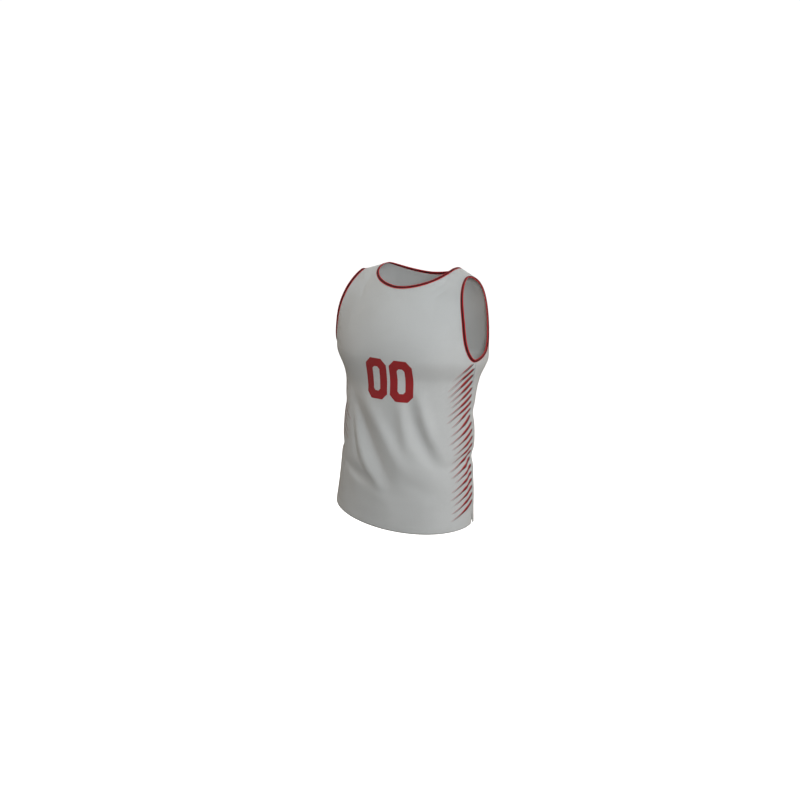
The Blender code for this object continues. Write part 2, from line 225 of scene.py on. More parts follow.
# The bindings: a rounded band across the edge of the cloth
BINDING_LAP = 0.0010  # how far the band laps over the cloth
BINDING_REACH = 0.0083  # how far it stands past the cloth's edge
BINDING_HALF_HEIGHT = 0.00115
BINDING_SQUARENESS = 3.0
ARMHOLE_TILT = {FRONT: math.radians(24), BACK: math.radians(-34)}  # outward, of the armholes' bands
TILT_TURN = 0.3  # the normal's forward share at which a band has its full tilt
BINDING_GROOVE = 0.00014  # where two of its stripes meet
STRIPE_EDGES = (0.29, 0.71)  # shares of its width
BAND_SHARES = (0, 0.04, 0.12, 0.22, STRIPE_EDGES[0], 0.42, 0.5, 0.58, STRIPE_EDGES[1], 0.78, 0.88, 0.96, 1)

# Side slashes: a red tapered stripe with a black one showing under it, from the side seam forward and down.
# The lengths are shares of the longest, from the underarm down.
SLASH_TOP_Z = -0.2335  # where the first one's line meets the seam
SLASH_PITCH = 0.01985
SLASH_LENGTHS = (
    0.75, 0.91, 0.92, 0.86, 0.85, 0.95, 1.00, 0.87, 0.94, 0.99, 0.90,
    0.83, 0.86, 0.93, 0.89, 0.77, 0.90, 0.94, 0.84, 0.89, 0.90,
)
SLASH_REACH = 0.087  # the longest's inner end, from the seam
SLASH_START = 0.0060  # the outer ends, from the seam
SLASH_FIRST_START = 0.0120  # and of the first one
SLASH_LONGER = 0.62  # how much longer the right side's grow, round this one of them and over so many
SLASH_LONGER_MIDDLE = 7.5
SLASH_LONGER_SPREAD = 4.2
SLASH_FALL = 0.645  # how far a slash falls for each metre forward
SLASH_STEEPER = 0.25  # how much more the first falls
SLASH_STEEP_COUNT = 6  # how many are steeper
SLASH_WIDTH = 0.0067  # upright, at its thickest
SLASH_FIRST_WIDTH = 0.55  # the first one's width, as a share
SLASH_ROUNDING = 0.05  # the share of its length over which it widens
SLASH_WAIST = 0.47  # the share of its length at which it turns thin, and over how much
SLASH_WAIST_SOFTNESS = 0.03
SLASH_THIN = 0.50  # its width there, and at its tip, as shares
SLASH_TIP = 0.10
SLASH_STEPS = 24
SLASH_BIAS = 1.3  # above 1, it is stepped more finely at its outer end
SHADOW_SHIFT = 0.0053  # how much nearer to the seam the black stripes lie
SEAM_MARGIN = 0.0010  # bare cloth beside the seam

# The number: two plain block noughts with cut corners, in metres on the flat cloth
NUMBER_CENTRE = (0.0125, -0.2995)
DIGIT_WIDTH = 0.069
DIGIT_HEIGHT = 0.115
DIGIT_GAP = 0.009
DIGIT_STROKE = 0.0232
DIGIT_CORNER = 0.0165
DIGIT_INNER_CORNER = 0.006
PRINT_STEP = 0.004
INK_LIFT = 0.00015  # how far a print lies above the cloth's outer face

# Stitches. Each is a row of rings, given by their place along it, in halves of its length, and their size.
THREAD_RADIUS = 0.00024
THREAD_SIDES = 6
STITCH_PITCH = 0.0032
STITCH_FILL = 0.78  # the share of the pitch that shows as thread
STITCH_HALF = STITCH_PITCH * STITCH_FILL / 2
STITCH_RINGS = ((-1.0, 0.25), (-0.72, 0.85), (0.0, 1.0), (0.72, 0.85), (1.0, 0.25))

# Rows of stitches. Ends are given as `across` or `up`.
EDGE_ROW_AWAY = 0.0028  # from a binding
HEM_ROW_GAP = 0.0055  # between the hem's two rows
HEM_ROW_END = 0.985
HEM_ROW_STEPS = 400
SEAM_ROW_AWAY = 0.0042  # from a side seam
SEAM_TOP = 0.985  # where its stitches and its tape end
SEAM_ROW_STEPS = 200
SHOULDER_ROW_UP = 1.980
SHOULDER_ROW_INSET = 0.003  # from the edges of the strap
SHOULDER_ROW_STEPS = 40
BARTACK_ROWS = 5
BARTACK_START = 0.004  # above the slit, as `up`
BARTACK_PITCH = 0.0011
BARTACK_ACROSS = 0.978
BARTACK_LIFT = 0.0003

# The tapes behind the seams, and the turned-up hem
BACKWARD = np.array((0.0, 1.0, 0.0))
TAPE_SHARES = np.linspace(-0.5, 0.5, 5)  # of its width
SIDE_TAPE_WIDTH = 0.011
SIDE_TAPE_DEPTH = 0.0011  # how far behind the cloth it lies
SIDE_TAPE_STEPS = 90
SHOULDER_TAPE_WIDTH = 0.010
SHOULDER_TAPE_DEPTH = 0.0012
SHOULDER_TAPE_INSET = 0.001
SHOULDER_TAPE_STEPS = 16
HEM_FOLD_END = 0.992  # as `across`
HEM_FOLD_STEPS = 150
HEM_FOLD_THICKNESS = CLOTH * 0.9
HEM_TURN_ANGLES = np.linspace(0, math.pi, 7)
HEM_FOLD_LEVELS = np.linspace(0.003, HEM_WIDTH, 6)  # of its upright part

# Materials: name, linear colour, and for a knit its sheen, roughness and the painted shade in its small
# holes, as their brightness beside the yarn
KNIT = ("grey_mesh_knit", (0.600, 0.603, 0.600), 0.20, 0.72, 0.62)
RED_INK = ("red_print", (0.330, 0.0150, 0.0180), 0.12, 0.66, 0.72)
# Painted light: the slashes take a lighter copy of the number's red ink, as more light falls on the sides
LIT_SLASH_INK = ("red_ink_painted_lighter", (0.400, 0.0200, 0.0240), 0.14, 0.66, 0.72)
BLACK_INK = ("black_print", (0.0180, 0.0170, 0.0165), 0.04, 0.66, 0.72)
RED_RIB = ("red_rib", (0.500, 0.0200, 0.0260))
BLACK_RIB = ("black_rib", (0.0060, 0.0056, 0.0055))
THREAD = ("grey_thread", (0.560, 0.562, 0.556))

# Patterns of the cloth, in metres, and the values between which a noise mostly lies
MESH_PITCH = 0.0021  # between the small holes of the knit
MESH_FLATNESS = 0.82
HOLE_EDGE = (0.13, 0.27)  # from a hole's middle, in pitches
WALE_PITCH = 0.00105
COURSE_PITCH = WALE_PITCH * 0.8
RIB_PITCH = 0.0013
LOOP_PITCH = RIB_PITCH * 0.6
NOISE_SPAN = (0.30, 0.70)

# Camera; angles in degrees
CAMERA_AZIMUTH = 33.7
CAMERA_ELEVATION = 15.56
CAMERA_DISTANCE = 2.433
CAMERA_TARGET = Vector((-0.0175, -0.064, -0.3834))
CAMERA_LENS = 38.6
CAMERA_SENSOR = 36.0
CAMERA_CLIP = (0.05, 50.0)

# Floor, room and lights
FLOOR_Z = -1.45  # where the wearer would stand
FLOOR_HALF = 6.0
FLOOR_SHADE = 0.9
WHITE = (1.0, 1.0, 1.0, 1.0)
WORLD_COLOUR = (1.0, 0.93, 0.84, 1.0)
WORLD_STRENGTH = 0.17
BACKDROP_STRENGTH = 1.05
LIGHT_DISTANCE = 2.6
# Name, azimuth from the chest towards the wearer's left, elevation, width in metres, power in watts, colour
LIGHTS = (
    ("front_light", 37.5, 17.5, 0.4, 35.5, (0.935, 0.982, 1.0)),
    ("top_light", 0.0, 85.0, 1.5, 18.0, (0.76, 0.91, 1.0)),
    ("right_light", -84.0, 42.0, 1.5, 12.5, (1.0, 0.74, 0.50)),
    ("left_light", 88.0, 8.0, 1.5, 18.5, (0.99, 0.98, 0.98)),
    ("back_light_left", 152.0, 20.0, 1.5, 15.0, (1.0, 0.86, 0.74)),
    ("back_light_right", 222.0, 24.0, 1.5, 26.0, (1.0, 0.96, 0.92)),
)


# -------- the part's surface

def section(column, z):
    """A column of SECTIONS at height z, through a smooth curve that stands upright at the underarm."""
    heights = np.asarray(SECTIONS["z"])
    values = np.asarray(SECTIONS[column])
    steps = np.diff(heights)
    rises = np.diff(values) / steps
    slopes = np.zeros(len(values))
    slopes[0] = rises[0]
    slopes[1:-1] = (rises[:-1] * steps[1:] + rises[1:] * steps[:-1]) / (steps[:-1] + steps[1:])
    low = np.clip(np.searchsorted(heights, z) - 1, 0, len(heights) - 2)
    step = steps[low]
    s = (z - heights[low]) / step
    start = (2 * s**3 - 3 * s**2 + 1) * values[low] + (s**3 - 2 * s**2 + s) * step * slopes[low]
    end = (3 * s**2 - 2 * s**3) * values[low + 1] + (s**3 - s**2) * step * slopes[low + 1]
    return start + end


def oval(angle, fullness):
    """Sine and cosine on a unit oval of the given fullness; the angle runs over a half turn."""
    sine = np.sin(angle)
    cosine = np.maximum(np.cos(angle), 0)
    size = (np.abs(sine) ** fullness + cosine**fullness) ** (1 / fullness)
    return sine / size, cosine / size


def oval_angle(sine, fullness):
    """The angle at which the unit oval has this sine."""
    sine = np.clip(sine, -1, 1)
    return np.arctan2(sine, (1 - np.abs(sine) ** fullness) ** (1 / fullness))


def shoulder_ridge(x):
    """Y and z of the line along which the front and the back meet over the shoulders."""
    outward = np.maximum(np.abs(x) - NECK_POINT_X, 0)
    inward = np.maximum(NECK_POINT_X**2 - x**2, 0) / (2 * NECK_POINT_X)
    return SHOULDER_Y + SHOULDER_SWEEP * outward, NECK_POINT_Z + SHOULDER_FALL * (inward - outward)


def ring_angle(side, across, seam_angle):
    """The angle at a share of a panel's width: 0 at the middle of the front, pi at that of the back."""
    share = np.abs(across)
    if side == FRONT:
        return share * seam_angle
    return math.pi - share * (math.pi - seam_angle)


def ring_point(angle, z):
    """X and Y on the left half of the level ring at height z."""
    front_sine, front_cosine = oval(angle, section("front_fullness", z))
    back_sine, back_cosine = oval(math.pi - angle, section("back_fullness", z))
    forward = angle < math.pi / 2
    x = section("half_width", z) * np.where(forward, front_sine, back_sine)
    front_y = -section("front_depth", z) * front_cosine
    back_y = section("back_depth", z) * back_cosine
    return x, section("centre_y", z) + np.where(forward, front_y, back_y)


def hem_height(across):
    return HEM_Z - HEM_DIP * np.maximum(np.cos(across * math.pi / 2), 0) ** HEM_ROUNDING


def body_height(across, up):
    """Height of a point of the body; the underarm's for a point of the yoke."""
    hem = hem_height(across)
    return hem + (UNDERARM_Z - hem) * np.minimum(up, 1)


def surface(side, across, up):
    """Points of a panel's smooth surface, without folds."""
    z = body_height(across, up)
    angle = ring_angle(side, across, section("seam_angle", z))
    x, y = ring_point(angle, z)
    x = np.sign(across) * x
    rise, inset = oval(np.clip(up - 1, 0, 1) * math.pi / 2, PANELS[side]["yoke_fullness"])
    ridge_y, ridge_z = shoulder_ridge(x)
    y = np.where(up > 1, ridge_y + (y - ridge_y) * inset, y)
    z = np.where(up > 1, z + (ridge_z - z) * rise, z)
    return np.stack((x, y, z), axis=-1)


def surface_normal(side, across, up):
    """Outward unit normals of the surface."""
    by_across = surface(side, across + NORMAL_STEP, up) - surface(side, across - NORMAL_STEP, up)
    by_up = surface(side, across, up + NORMAL_STEP) - surface(side, across, up - NORMAL_STEP)
    normal = -side * np.cross(by_across, by_up)
    return normal / np.linalg.norm(normal, axis=-1, keepdims=True)


def across_at(side, angle):
    """The share of a panel's width at an angle round the yoke."""
    seam_angle = SECTIONS["seam_angle"][-1]
    if side == FRONT:
        return angle / seam_angle
    return (math.pi - angle) / (math.pi - seam_angle)


def yoke_angle(side, x):
    """The angle round the yoke at which a panel reaches x on the left side."""
    angle = oval_angle(x / SECTIONS["half_width"][-1], SECTIONS[PANELS[side]["ring_fullness"]][-1])
    return angle if side == FRONT else math.pi - angle


def neckline(side, share):
    """Coordinates along the neckline; share runs from -1 at the right neck point to 1 at the left one."""
    panel = PANELS[side]
    sine, cosine = oval(share * math.pi / 2, panel["neck_fullness"])
    x = NECK_POINT_X * sine
    z = NECK_POINT_Z - panel["neck_drop"] * cosine
    rise = (z - UNDERARM_Z) / (shoulder_ridge(x)[1] - UNDERARM_Z)
    across = np.sign(x) * across_at(side, yoke_angle(side, np.abs(x)))
    return across, 1 + oval_angle(rise, panel["yoke_fullness"]) / (math.pi / 2)


def armhole(side, share):
    """Coordinates along the left armhole; share runs from 0 at the underarm to 1 at the shoulder tip."""
    panel = PANELS[side]
    height = share**ARMHOLE_EASING
    left_to_turn = np.maximum(1 - height / panel["armhole_rounding"], 0)
    turned = (1 - left_to_turn ** panel["armhole_fullness"]) ** (1 / panel["armhole_fullness"])
    inner = panel["armhole_angle"]
    angle = inner + (SECTIONS["seam_angle"][-1] - inner) * (1 - turned)
    angle = angle + (yoke_angle(side, SHOULDER_TIP_X) - inner) * height**2 * (3 - 2 * height)
    return across_at(side, angle), 1 + height


def run_along(points):
    """Length along a line, at each of its points."""
    return np.concatenate(((0,), np.cumsum(np.linalg.norm(np.diff(points, axis=0), axis=1))))


def even_shares(line, count, start_bias=1.0):
    """Shares of a line's run, count + 1 of them, evenly spaced, or closer at the start by a bias."""
    shares = np.linspace(0, 1, SAMPLES)
    run = run_along(line(shares))
    wanted = run[-1] * np.linspace(0, 1, count + 1) ** start_bias
    return np.interp(wanted, run, shares)


def side_seam():
    """Coordinates up the left side seam, from the hem to just below the underarm."""
    slit = np.linspace(0, SLIT_TOP, SLIT_STEPS, endpoint=False)
    seam = np.linspace(SLIT_TOP, 1, SEAM_STEPS, endpoint=False)
    up = np.concatenate((slit, seam))
    return np.ones(len(up)), up


def armhole_edge(side):
    """Coordinates up the left armhole, from the underarm to the shoulder tip."""
    shares = even_shares(lambda share: surface(side, *armhole(side, share)), ARMHOLE_STEPS, ARMHOLE_BIAS)
    return armhole(side, shares)


def neck_edge(side):
    """Coordinates along the neckline, from the left neck point to the right one."""
    shares = even_shares(lambda share: surface(side, *neckline(side, 1 - 2 * share)), NECK_STEPS)
    return neckline(side, 1 - 2 * shares)


def panel_outline(side):
    """Coordinates round a panel, against the clock from its left hem corner."""
    strap_x = np.linspace(SHOULDER_TIP_X, NECK_POINT_X, STRAP_STEPS + 1)[1:-1]
    strap = across_at(side, yoke_angle(side, strap_x)), np.full(len(strap_x), 2.0)
    left = np.hstack((side_seam(), armhole_edge(side), strap))
    right = (left * ((-1,), (1,)))[:, ::-1]
    hem_across = np.linspace(-1, 1, HEM_STEPS + 1)[1:-1]
    hem = np.stack((hem_across, np.zeros(len(hem_across))))
    return np.hstack((left, neck_edge(side), right, hem)).T


def flat_outline(side):
    return panel_outline(side) * FLAT_SCALE


# -------- cloth laid on the surface

def fold_lift(folds, x, z):
    """How far points at x and z stand out of the smooth surface because of some folds."""
    lift = np.zeros(x.shape)
    steps = np.linspace(0, 1, FOLD_STEPS)
    for row in folds:
        fold = dict(zip(FOLD_COLUMNS, row))
        path = [
            (1 - steps) ** 2 * fold["start_" + axis]
            + 2 * steps * (1 - steps) * fold["bend_" + axis]
            + steps**2 * fold["end_" + axis]
            for axis in ("x", "z")
        ]
        distance = np.hypot(x[..., None] - path[0], z[..., None] - path[1])
        strength = np.exp(-((distance / fold["half_width"]) ** 2)) * np.sin(math.pi * steps) ** FOLD_TAPER
        lift += fold["depth"] * strength.max(axis=-1)
    return lift


def seam_lift(across, up):
    """How the cloth turns in and puckers beside the side and shoulder seams."""
    from_side = (1 - np.abs(across)) * FLAT_WIDTH
    from_shoulder = (2 - up) * FLAT_HEIGHT / 2
    near = np.exp(-((np.minimum(from_side, from_shoulder) / SEAM_ROLL) ** 2))
    puckers = pucker(up * FLAT_HEIGHT, from_side) + pucker(across * FLAT_WIDTH, from_shoulder)
    return puckers - SEAM_SINK * near


def pucker(along, away):
    """Small uneven waves along a sewn edge, which fade away from it."""
    waves = sum(height * np.sin(2 * math.pi * cycles * along + cycles) for cycles, height in PUCKERS)
    return waves * np.exp(-((away / PUCKER_REACH) ** 2))


def hem_lift(across, up):
    """The doubled hem stands out a little, and puckers along its stitching."""
    above = up * SIDE_LENGTH - HEM_WIDTH
    share = (1 - np.tanh(above / HEM_STEP_SOFTNESS / 2)) / 2
    return HEM_STEP * share + pucker(across * FLAT_WIDTH, above)


def open_slit(side, points):
    """Move the cloth beside each side seam apart below the top of the slit."""
    height = np.clip(1 - (points[..., 2] - HEM_Z) / SLIT_HEIGHT, 0, 1)
    level = np.minimum(points[..., 2], HEM_Z + SLIT_HEIGHT)
    seam_y = ring_point(section("seam_angle", level), level)[1]
    from_seam = np.abs(points[..., 1] - seam_y)
    near = np.clip(1 - from_seam / SLIT_REACH, 0, 1)
    points[..., 1] += side * (SEAM_GAP / 2 + SLIT_HALF_OPENING * height * near**2)
    return points


def panel_points(side, across, up, out=0.0):
    """The places in space of points of a panel, moved outward by `out`."""
    points = surface(side, across, up)
    x, z = points[..., 0], points[..., 2]
    from_seam = np.sign(across) * (1 - np.abs(across)) * FLAT_WIDTH
    lift = fold_lift(FOLDS[side] + LIGHT_FOLDS[side], x, z)
    lift = lift + fold_lift((*SIDE_FOLDS, ARMHOLE_FOLDS[side]), np.abs(x), z)
    lift = lift + fold_lift(SEAM_FOLDS[side], from_seam, z)
    lift = lift + seam_lift(across, up) + hem_lift(across, up) + out
    points = points + surface_normal(side, across, up) * lift[..., None]
    return open_slit(side, points)


def height_on_cloth(side, across, up):
    """Height of a point, counted up the cloth itself above the underarm."""
    levels = np.linspace(1, 2, SAMPLES)
    run = run_along(surface(side, np.zeros(SAMPLES), levels))
    return body_height(across, up) + np.interp(np.maximum(up, 1), levels, run)


def reach_on_cloth(side, across, up):
    """Length round the cloth from the middle of the panel, negative on the right."""
    shares = np.linspace(0, 1, ARC_STEPS + 1)
    line = surface(side, across[..., None] * shares, up[..., None] + 0 * shares)
    return np.sign(across) * np.linalg.norm(np.diff(line, axis=-2), axis=-1).sum(axis=-1)


def cloth_uv(side, across, up):
    """Reach and height on the cloth, in metres, as texture coordinates."""
    return np.stack((reach_on_cloth(side, across, up), height_on_cloth(side, across, up)), axis=-1)


def cloth_place(side, reach, height):
    """Coordinates of the point at this length round the cloth and this height up it."""
    reach, height = np.broadcast_arrays(np.asarray(reach, dtype=float), np.asarray(height, dtype=float))
    levels = np.linspace(1, 2, SAMPLES)
    heights = height_on_cloth(side, np.zeros(SAMPLES), levels)
    yoke_up = np.interp(height, heights, levels)
    across = reach / FLAT_WIDTH
    for _ in range(PLACE_ROUNDS):
        hem = hem_height(across)
        up = np.where(height < UNDERARM_Z, (height - hem) / (UNDERARM_Z - hem), yoke_up)
        length = reach_on_cloth(side, across, up)
        across = np.where(np.abs(length) > TINY, across * reach / np.where(length == 0, 1, length), across)
    return across, up


def inside(outline, points):
    """Which flat points lie inside a closed outline."""
    result = np.zeros(len(points), dtype=bool)
    for start, end in zip(outline, np.roll(outline, -1, axis=0)):
        crosses = (start[1] > points[:, 1]) != (end[1] > points[:, 1])
        rise = end[1] - start[1] or 1.0
        reach = start[0] + (points[:, 1] - start[1]) * (end[0] - start[0]) / rise
        result ^= crosses & (points[:, 0] < reach)
    return result


def lattice(outline, marks, step):
    """Evenly staggered flat points inside an outline, clear of it and of the marks drawn in it."""
    row_step = step * math.sqrt(0.75)
    rows = np.arange(outline[:, 1].min() + row_step, outline[:, 1].max(), row_step)
    columns = np.arange(outline[:, 0].min(), outline[:, 0].max() + step, step)
    x, y = np.meshgrid(columns, rows)
    x = x + (np.arange(len(rows)) % 2)[:, None] * step / 2
    points = np.stack((x.ravel(), y.ravel()), axis=-1)
    points = points[inside(outline, points)]
    for line in (outline, *marks):
        for place in np.vstack((line, (line + np.roll(line, -1, axis=0)) / 2)):
            points = points[np.hypot(*(points - place).T) > EDGE_CLEARANCE * step]
    return points


def flat_cut(outline, marks, step):
    """Flat points and triangles inside an outline, with closed marks drawn as edges of triangles."""
    lines = (outline, *marks)
    points = np.vstack((*lines, lattice(outline, marks, step)))
    loops = []
    first = 0
    for line in lines:
        loops.append(list(range(first, first + len(line))))
        first += len(line)
    edges = [pair for loop in loops[1:] for pair in zip(loop, loop[1:] + loop[:1])]
    laid = delaunay_2d_cdt([Vector(point) for point in points], edges, loops[:1], CDT_INSIDE, CDT_MERGE)
    return np.array([tuple(point) for point in laid[0]]), np.array(laid[2])


# -------- meshes

def make_object(name, points, faces, materials, uv=None):
    """A named, smooth-shaded mesh object; uv gives one pair for each point."""
    mesh = bpy.data.meshes.new(name)
    mesh.from_pydata([tuple(point) for point in points], [], [tuple(face) for face in faces])
    mesh.shade_smooth()
    for material in materials:
        mesh.materials.append(material)
    if uv is not None:
        corners = np.empty(len(mesh.loops), dtype=np.int32)
        mesh.loops.foreach_get("vertex_index", corners)
        mesh.uv_layers.new(name="cloth").data.foreach_set("uv", np.asarray(uv)[corners].ravel())
    thing = bpy.data.objects.new(name, mesh)
    bpy.context.scene.collection.objects.link(thing)
    return thing


def finish_piece(thing, replaced=()):
    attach(thing, "root")
    if replaced:
        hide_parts(*replaced)
    return thing


def thicken(thing, thickness):
    """Give a sheet its thickness, evenly to both sides."""
    solidify = thing.modifiers.new("Cloth", "SOLIDIFY")
    solidify.thickness = thickness
    solidify.offset = 0.0
    solidify.use_even_offset = True


def make_panel(name, side, flat, faces, material, node):
    across, up = (flat / FLAT_SCALE).T
    panel = make_object(name, panel_points(side, across, up), faces, [material], cloth_uv(side, across, up))
    thicken(panel, CLOTH)
    return finish_piece(panel, [node])


def grid_faces(rows, columns, rows_close=False, columns_close=False):
    """Quads between rows of points. Rows or columns that close go on from the last one to the first."""
    down = [(row, (row + 1) % rows) for row in range(rows if rows_close else rows - 1)]
    along = [(step, (step + 1) % columns) for step in range(columns if columns_close else columns - 1)]
    return [
        (row * columns + step, row * columns + beside, below * columns + beside, below * columns + step)
        for row, below in down
        for step, beside in along
    ]


def edge_loop(lines):
    """Points and outward normals round an opening, from (side, across, up) lines that follow each other."""
    points = np.concatenate([panel_points(*line)[:-1] for line in lines])
    normals = np.concatenate([surface_normal(*line)[:-1] for line in lines])
    return points, normals


def neck_loop():
    front_across, front_up = neck_edge(FRONT)
    back_across, back_up = neck_edge(BACK)
    return edge_loop(((FRONT, front_across, front_up), (BACK, -back_across, back_up)))


def armhole_loop(hand):
    """The left armhole's loop for hand 1, the right one's for hand -1."""
    front_across, front_up = armhole_edge(FRONT)
    back_across, back_up = armhole_edge(BACK)
    down = (BACK, hand * back_across[::-1], back_up[::-1])
    return edge_loop(((FRONT, hand * front_across, front_up), down))


def towards_opening(points, normals):
    """Unit vectors along the cloth's surface, from its edge into the opening."""
    along = np.roll(points, -1, axis=0) - np.roll(points, 1, axis=0)
    outward = np.cross(normals, along)
    outward /= np.linalg.norm(outward, axis=1, keepdims=True)
    facing = np.sum(outward * (points.mean(axis=0) - points), axis=1)
    return outward * np.sign(facing)[:, None]


def band_profile():
    """Share of the band's width, and height, for each point round its section."""
    shares = np.array(BAND_SHARES)
    rounding = (1 - np.abs(2 * shares - 1) ** BINDING_SQUARENESS) ** (1 / BINDING_SQUARENESS)
    heights = BINDING_HALF_HEIGHT * rounding - BINDING_GROOVE * np.isin(shares, STRIPE_EDGES)
    top = list(zip(shares, heights))
    bottom = [(share, -height) for share, height in top[-2:0:-1]]
    return top + bottom


def tilted(directions, normals):
    """Turn directions out of the cloth's surface, one way on the chest and the other on the back."""
    turn = np.clip(normals[:, 1] / TILT_TURN, -1, 1)
    angle = np.where(turn < 0, ARMHOLE_TILT[FRONT], ARMHOLE_TILT[BACK])[:, None] * np.abs(turn)[:, None]
    return (
        directions * np.cos(angle) + normals * np.sin(angle),
        normals * np.cos(angle) - directions * np.sin(angle),
    )


def make_binding(name, loop, tilt, materials, node):
    """A rounded striped band all round an opening."""
    points, normals = loop
    outward = towards_opening(points, normals)
    if tilt:
        outward, normals = tilted(outward, normals)
    profile = band_profile()
    width = BINDING_LAP + BINDING_REACH
    rings = [
        points + outward * (share * width - BINDING_LAP) + normals * height
        for share, height in profile
    ]
    verts = np.stack(rings, axis=1).reshape(-1, 3)
    uv = np.array([(length, share * width) for length in run_along(points) for share, _ in profile])
    faces = grid_faces(len(points), len(profile), True, True)
    band = make_object(name, verts, faces, materials, uv)
    for polygon in band.data.polygons:
        share = np.mean([profile[vertex % len(profile)][0] for vertex in polygon.vertices])
        polygon.material_index = int(STRIPE_EDGES[0] < share < STRIPE_EDGES[1])
    return finish_piece(band, [node])


# -------- prints

def slash_outline(hand, index, shift):
    """The closed outline of one tapered stripe, by reach and height on the cloth."""
    t = np.linspace(0, 1, SLASH_STEPS) ** SLASH_BIAS
    end = SLASH_REACH * SLASH_LENGTHS[index]
    if hand < 0:
        end *= 1 + SLASH_LONGER * math.exp(-(((index - SLASH_LONGER_MIDDLE) / SLASH_LONGER_SPREAD) ** 2))
    start = SLASH_START if index else SLASH_FIRST_START
    forward = start + (end - start) * t
    fall = SLASH_FALL + SLASH_STEEPER * max(0, 1 - index / SLASH_STEEP_COUNT)
    height = SLASH_TOP_Z - SLASH_PITCH * index - fall * forward
    seam = reach_on_cloth(FRONT, np.ones(len(t)), (height - HEM_Z) / SIDE_LENGTH)
    thick = 1 / (1 + np.exp((t - SLASH_WAIST) / SLASH_WAIST_SOFTNESS))
    thin = np.interp(t, (SLASH_WAIST, 1), (SLASH_THIN, SLASH_TIP))
    taper = (thick + (1 - thick) * thin) * np.sqrt(np.minimum(1, t / SLASH_ROUNDING))
    width = SLASH_WIDTH * taper * min(1, SLASH_FIRST_WIDTH + index * (1 - SLASH_FIRST_WIDTH) / 2)
    reach = hand * (seam - np.maximum(forward - shift, SEAM_MARGIN))
    upper = np.stack((reach, height + width / 2), axis=-1)
    lower = np.stack((reach, height - width / 2), axis=-1)
    return np.vstack((upper, lower[:0:-1]))


def slash_outlines(shift):
    """The stripes of one colour, moved towards the seam."""
    return [slash_outline(hand, index, shift) for hand in (1, -1) for index in range(len(SLASH_LENGTHS))]


def cut_rectangle(centre, width, height, corner):
    """A rectangle with cut corners, as evenly stepped points against the clock."""
    x, y = width / 2, height / 2
    corners = np.array((
        (x, -y + corner), (x, y - corner), (x - corner, y), (-x + corner, y),
        (-x, y - corner), (-x, -y + corner), (-x + corner, -y), (x - corner, -y),
    ))
    points = []
    for start, end in zip(corners, np.roll(corners, -1, axis=0)):
        count = max(1, round(np.linalg.norm(end - start) / PRINT_STEP))
        points.extend(start + (end - start) * np.arange(count)[:, None] / count)
    return np.array(points) + np.array(centre)


def number_outlines():
    """The outer and inner outlines of two block noughts side by side."""
    outlines = []
    for hand in (-1, 1):
        centre = (NUMBER_CENTRE[0] + hand * (DIGIT_WIDTH + DIGIT_GAP) / 2, NUMBER_CENTRE[1])
        hole = (DIGIT_WIDTH - 2 * DIGIT_STROKE, DIGIT_HEIGHT - 2 * DIGIT_STROKE)
        outlines.append(cut_rectangle(centre, DIGIT_WIDTH, DIGIT_HEIGHT, DIGIT_CORNER))
        outlines.append(cut_rectangle(centre, *hole, DIGIT_INNER_CORNER))
    return outlines


def flat_marks(outlines):
    """Outlines given on the front's cloth, as they lie on its flat pattern."""
    return [np.stack(cloth_place(FRONT, *outline.T), axis=-1) * FLAT_SCALE for outline in outlines]


def triangles_within(marks, flat, faces):
    """Which triangles have their middles inside an odd number of marks."""
    middles = flat[faces].mean(axis=1)
    result = np.zeros(len(faces), dtype=bool)
    for mark in marks:
        near = ((middles > mark.min(axis=0)) & (middles < mark.max(axis=0))).all(axis=1)
        result[near] ^= inside(mark, middles[near])
    return result


def make_print(name, flat, faces, material):
    """Some of the front's triangles again, as a film of ink just above the cloth."""
    used, corners = np.unique(faces, return_inverse=True)
    across, up = (flat[used] / FLAT_SCALE).T
    points = panel_points(FRONT, across, up, CLOTH / 2 + INK_LIFT)
    film = make_object(name, points, corners.reshape(-1, 3), [material], cloth_uv(FRONT, across, up))
    return finish_piece(film)


def make_front(knit, red_ink, lit_slash_ink, black_ink):
    """The front panel, and the prints made from its own triangles."""
    red = flat_marks(slash_outlines(0.0))
    black = flat_marks(slash_outlines(SHADOW_SHIFT))
    number = flat_marks(number_outlines())
    flat, faces = flat_cut(flat_outline(FRONT), red + black + number, LATTICE_STEP)
    in_red = triangles_within(red, flat, faces)
    in_black = triangles_within(black, flat, faces) & ~in_red
    in_number = triangles_within(number, flat, faces)
    front = make_panel("front_cloth", FRONT, flat, faces, knit, "front")
    prints = [
        make_print("side_slashes_red", flat, faces[in_red], lit_slash_ink),
        make_print("side_slashes_black", flat, faces[in_black], black_ink),
        make_print("number", flat, faces[in_number], red_ink),
    ]
    return front, prints


# -------- sewing

def stitch_path(points, normals):
    """Middles, directions and normals of evenly spaced stitches along a line."""
    run = run_along(points)
    count = max(1, int(run[-1] / STITCH_PITCH))
    middles = (np.arange(count) + 0.5) * run[-1] / count

    def at(places, values):
        return np.stack([np.interp(places, run, values[:, axis]) for axis in range(3)], axis=-1)

    ends = at(np.minimum(middles + STITCH_HALF, run[-1]), points)
    direction = ends - at(np.maximum(middles - STITCH_HALF, 0), points)
    direction /= np.linalg.norm(direction, axis=1, keepdims=True)
    return at(middles, points), direction, at(middles, normals)


def stitch_faces():
    """The faces of one stitch: a tube of rings, closed at both ends."""
    tube = grid_faces(len(STITCH_RINGS), THREAD_SIDES, columns_close=True)
    last = (len(STITCH_RINGS) - 1) * THREAD_SIDES
    return tube + [range(THREAD_SIDES)[::-1], range(last, last + THREAD_SIDES)]


